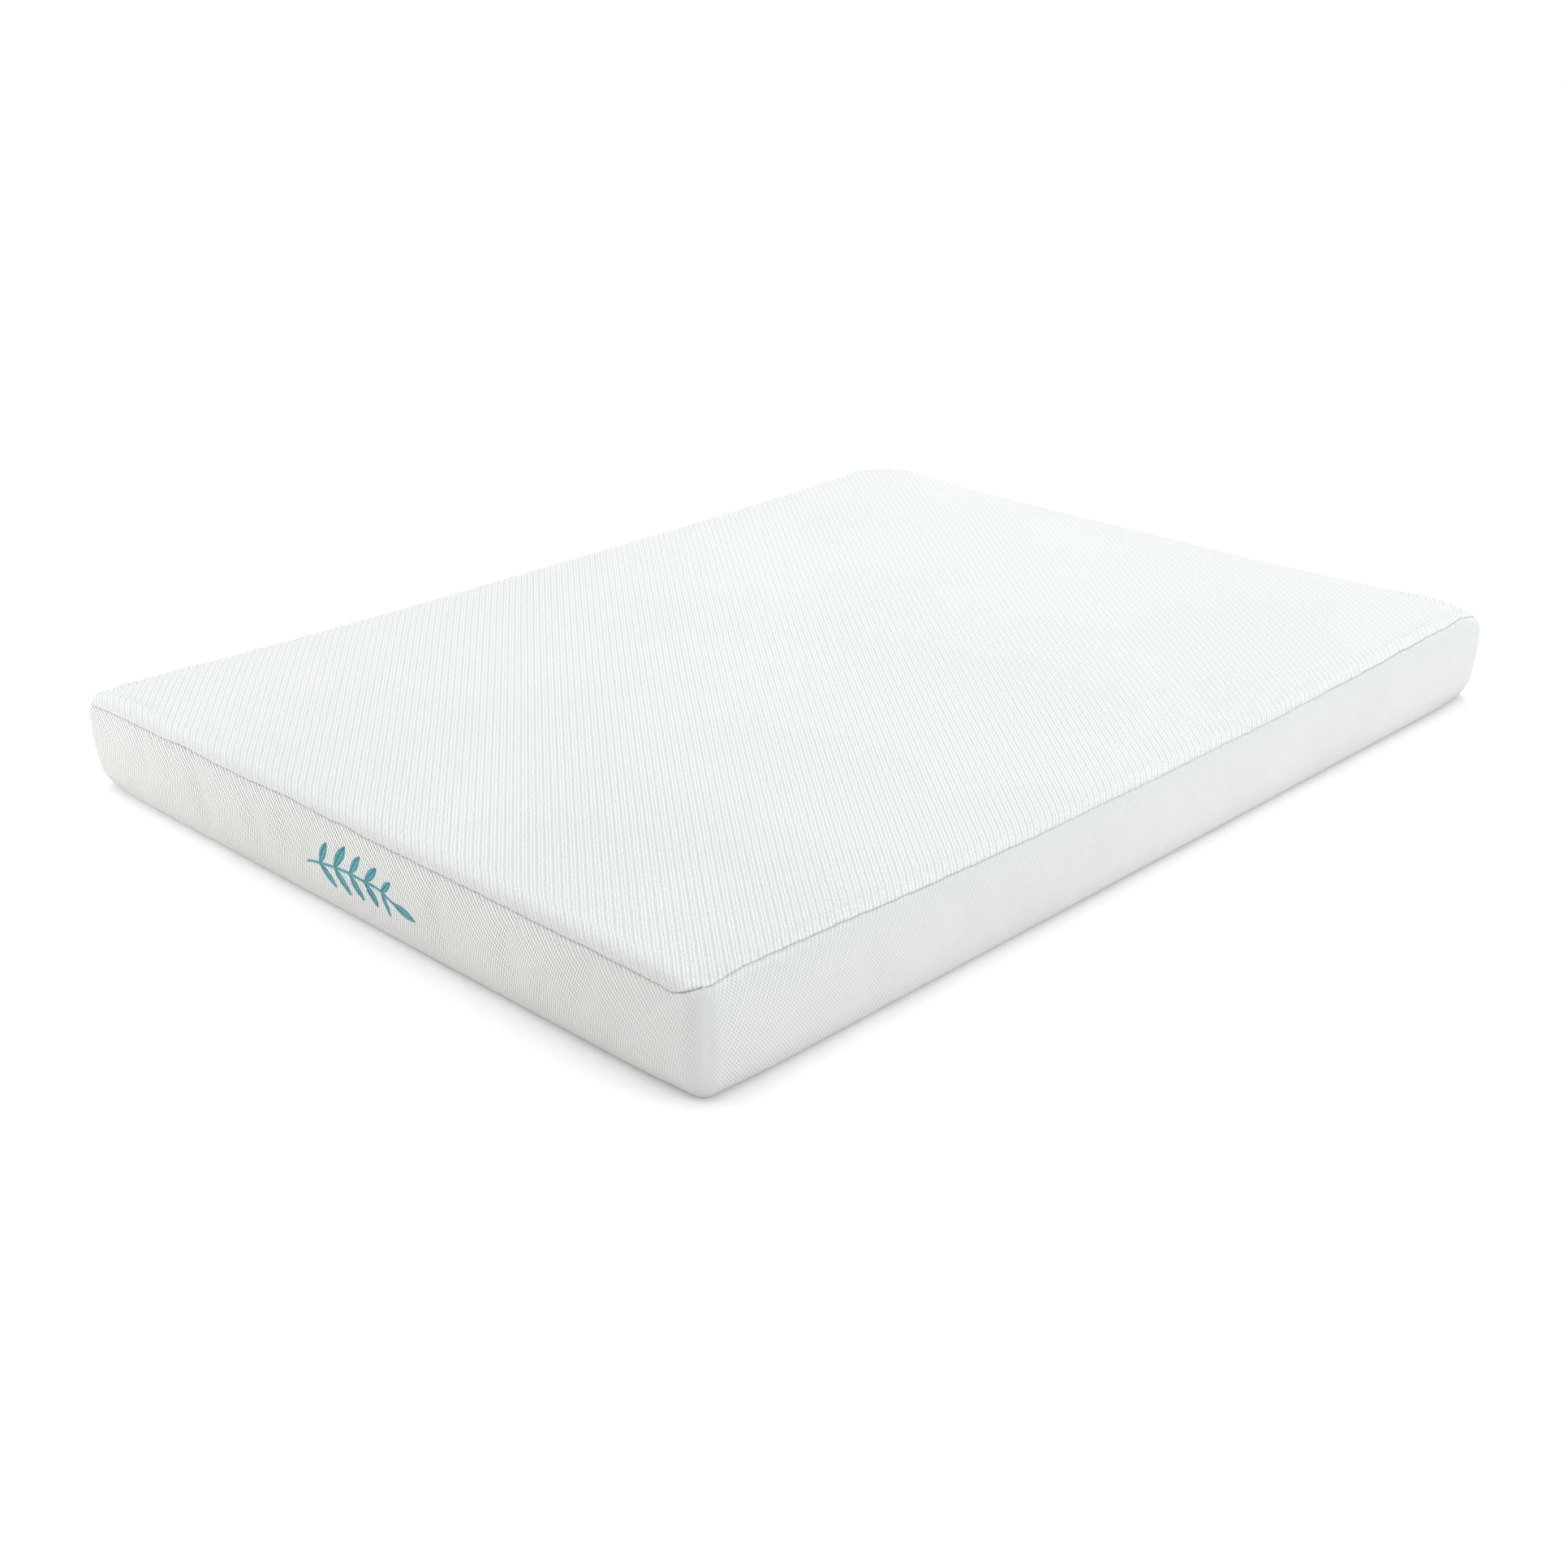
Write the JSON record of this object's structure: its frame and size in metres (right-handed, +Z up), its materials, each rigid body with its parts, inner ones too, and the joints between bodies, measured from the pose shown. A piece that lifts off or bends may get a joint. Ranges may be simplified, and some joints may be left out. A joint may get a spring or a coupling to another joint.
{
  "type": "memory foam mattress",
  "caption": "Queen-size memory foam mattress with a diagonal-ribbed knitted cover, rolled edges, a zip round the lower border and an embroidered leaf sprig at the foot end.",
  "frame": {"origin": "middle of the plan, on the surface that the mattress lies on", "axes": "+Z up; +Y along the length towards the head end; the embroidered foot end is at -Y"},
  "size_m": [1.531, 2.0313, 0.18],
  "materials": {
    "knit_top": "matte",
    "knit_border": "matte",
    "bottom_fabric": "matte",
    "memory_foam": "matte",
    "transition_foam": "matte",
    "base_foam": "matte",
    "fire_sock": "matte",
    "overlock_thread": "matte",
    "zip_tape": "matte",
    "zip_coil": "satin",
    "zip_metal": "satin",
    "embroidery_thread": "satin",
    "backing_fleece": "matte",
    "label_satin": "satin"
  },
  "bodies": {
    "mattress": {"memory_foam": "memory_foam", "transition_foam": "transition_foam", "base_foam": "base_foam", "fire_barrier_sock": "fire_sock", "cover_top_panel": "knit_top", "cover_bottom_panel": "bottom_fabric", "border_foot": "knit_border", "border_head": "knit_border", "border_left": "knit_border", "border_right": "knit_border", "zip_skirt_left": "knit_border", "zip_skirt_head": "knit_border", "top_seam_allowance": "overlock_thread", "bottom_seam_allowance": "overlock_thread", "corner_seam_foot_left": "overlock_thread", "corner_seam_foot_right": "overlock_thread", "corner_seam_head_left": "overlock_thread", "corner_seam_head_right": "overlock_thread", "zip_tape_upper": "zip_tape", "zip_tape_lower": "zip_tape", "zip_coil_upper": "zip_coil", "zip_coil_lower": "zip_coil", "zip_stops": "zip_metal", "embroidered_sprig": "embroidery_thread", "embroidery_backing": "backing_fleece", "care_label": "label_satin"},
    "slider": {"zip_slider": "zip_metal"},
    "pull_tab": {"zip_pull_tab": "zip_metal"}
  },
  "joints": [
    {"name": "zip_slide", "type": "slide", "parent": "mattress", "child": "slider", "axis": [0, 1, 0], "range_m": [0, 1.83]},
    {"name": "pull_tab_hinge", "type": "hinge", "parent": "slider", "child": "pull_tab", "pos_m": [-0.76398, -0.8735, 0.03586], "axis": [-0.0928, 0, 0.9957], "range_deg": [0, 180]}
  ]
}
